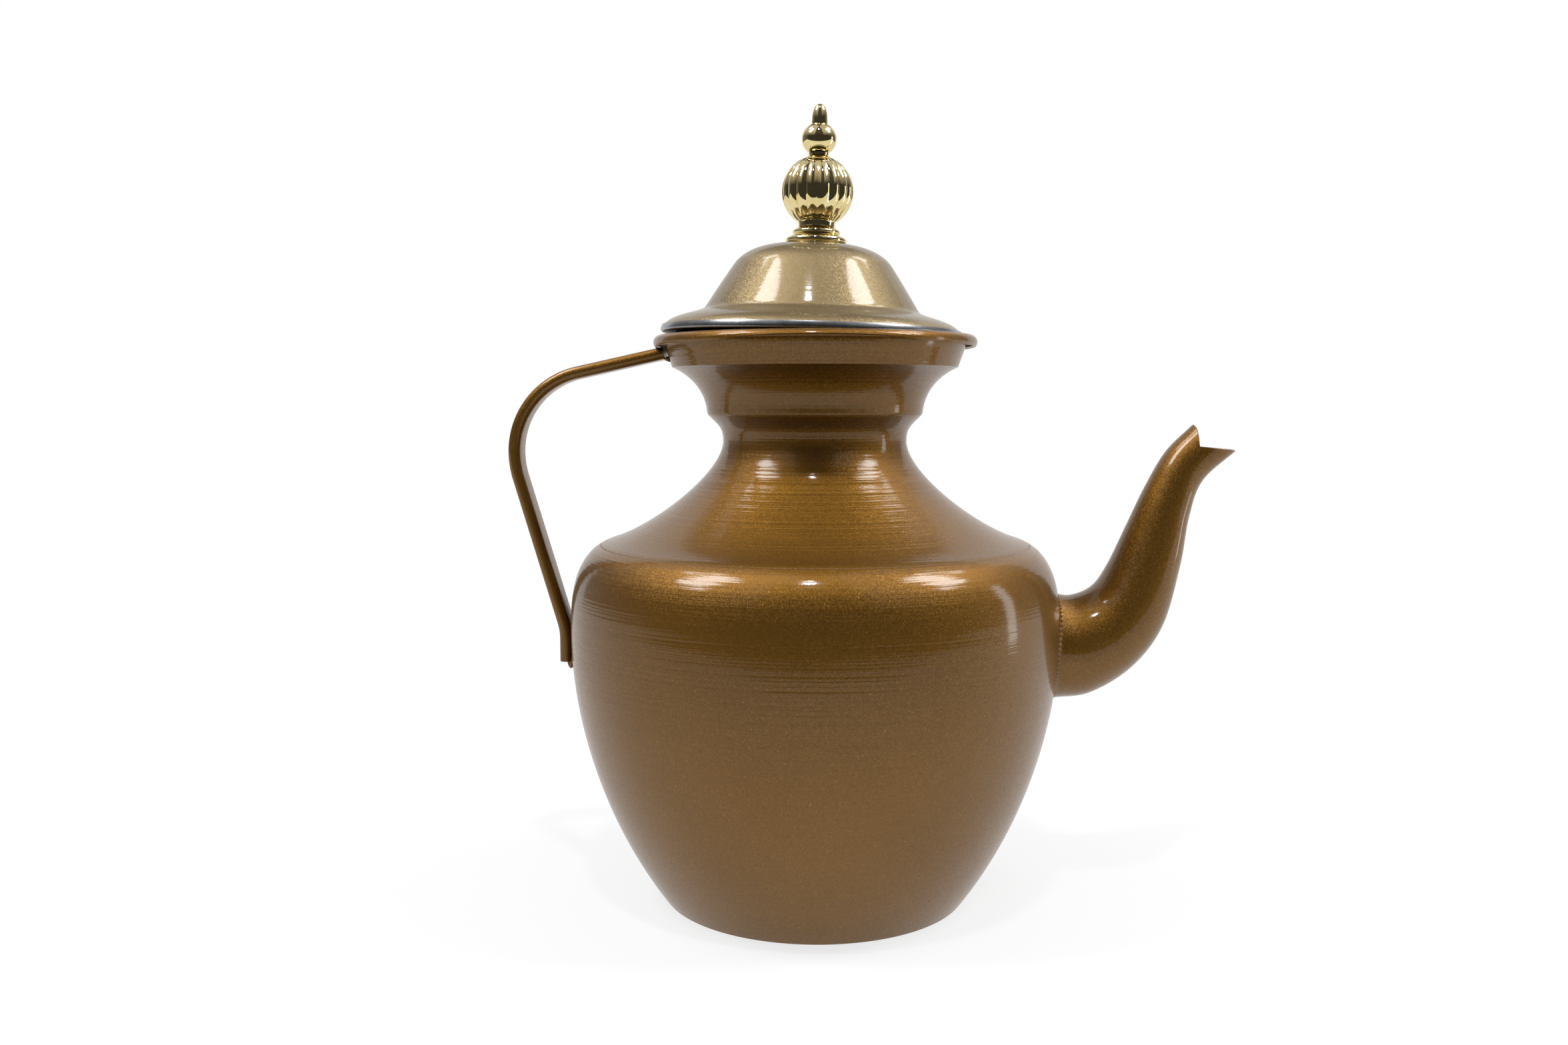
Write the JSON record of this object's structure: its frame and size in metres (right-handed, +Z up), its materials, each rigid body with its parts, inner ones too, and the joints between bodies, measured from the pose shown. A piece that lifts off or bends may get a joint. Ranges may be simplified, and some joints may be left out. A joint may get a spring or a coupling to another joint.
{
  "type": "dallah coffee pot",
  "caption": "Large metallic-bronze dallah coffee pot with a curved spout, a strap handle and a loose domed lid that lifts off by its fluted brass finial.",
  "frame": {"origin": "centre of the flat base, on its underside", "axes": "+Z up along the pot's axis, +X towards the spout, -X towards the handle"},
  "size_m": [0.3139, 0.2114, 0.3411],
  "materials": {
    "bronze_paint": "metallic gold-bronze paint under a clear gloss",
    "champagne_paint": "paler metallic paint under a clear gloss",
    "bare_aluminium": "bare spun aluminium",
    "polished_brass": "polished",
    "steel": "zinc-plated"
  },
  "bodies": {
    "pot": {"body": "bronze_paint", "shoulder": "bronze_paint", "mouth": "bronze_paint", "spout_left_half": "bronze_paint", "spout_right_half": "bronze_paint", "spout_weld": "bronze_paint", "handle": "bronze_paint", "handle_top_weld": "bronze_paint", "handle_foot_weld": "bronze_paint"},
    "lid": {"lid_dome": "champagne_paint", "lid_liner": "bare_aluminium", "finial_base": "polished_brass", "finial_collar": "polished_brass", "fluted_ball": "polished_brass", "finial_neck": "polished_brass", "finial_ball": "polished_brass", "finial_tip": "polished_brass", "finial_stud": "steel", "finial_washer": "steel", "finial_nut": "steel"}
  },
  "joints": [
    {"name": "lid_lift", "type": "slide", "parent": "pot", "child": "lid", "axis": [0, 0, 1], "range_m": [0, 0.12]}
  ]
}
